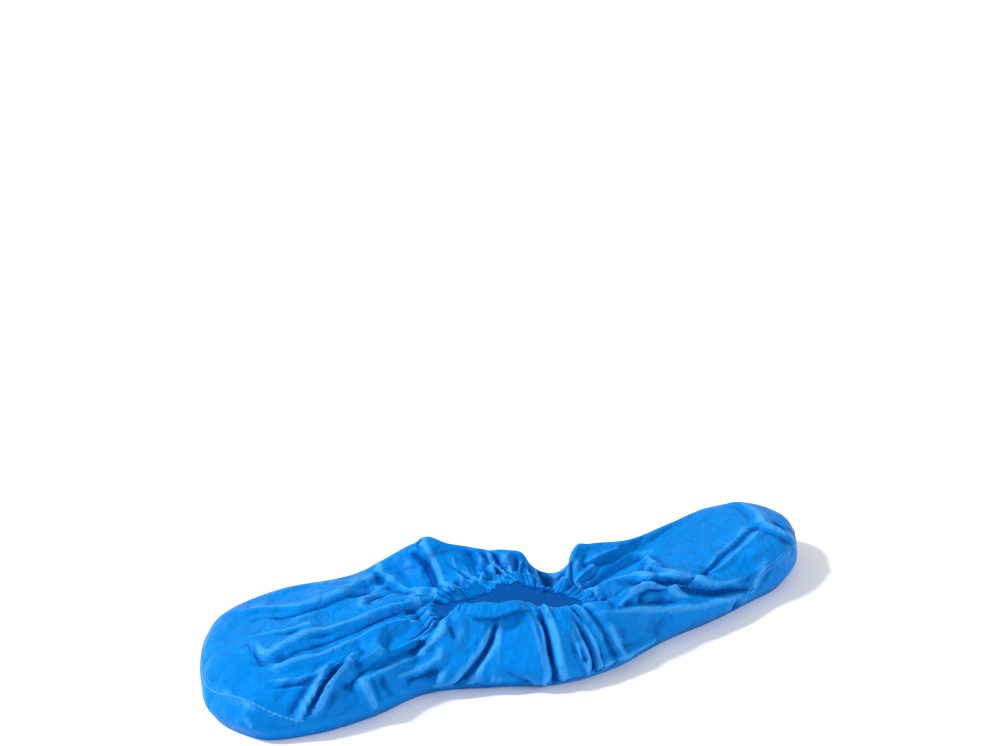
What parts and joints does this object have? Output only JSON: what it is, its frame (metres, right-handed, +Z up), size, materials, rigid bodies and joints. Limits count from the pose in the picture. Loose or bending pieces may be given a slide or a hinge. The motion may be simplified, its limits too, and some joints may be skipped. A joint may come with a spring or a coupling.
{
  "type": "disposable shoe cover",
  "caption": "Slip-on disposable overshoe: a long soft cloth pouch lying on its sole, with a wide toe, a narrower heel and an oval mouth gathered by an elastic hem.",
  "frame": {"origin": "on the floor, under the middle of the cover's bounding box", "axes": "+X runs from the toe end to the heel end, -Y is the near side, +Z is up out of the mouth"},
  "size_m": [0.4048, 0.1492, 0.0496],
  "materials": {
    "coated_cloth": "film-coated nonwoven with a satin sheen and fine embossed dots",
    "elastic": "matte thread-wrapped elastic",
    "welded_seam": "pressed seam, paler than the cloth"
  },
  "bodies": {
    "root": {"pouch": "coated_cloth", "hem_casing": "coated_cloth", "elastic_band": "elastic", "toe_seam": "welded_seam", "heel_seam": "welded_seam"}
  },
  "joints": []
}
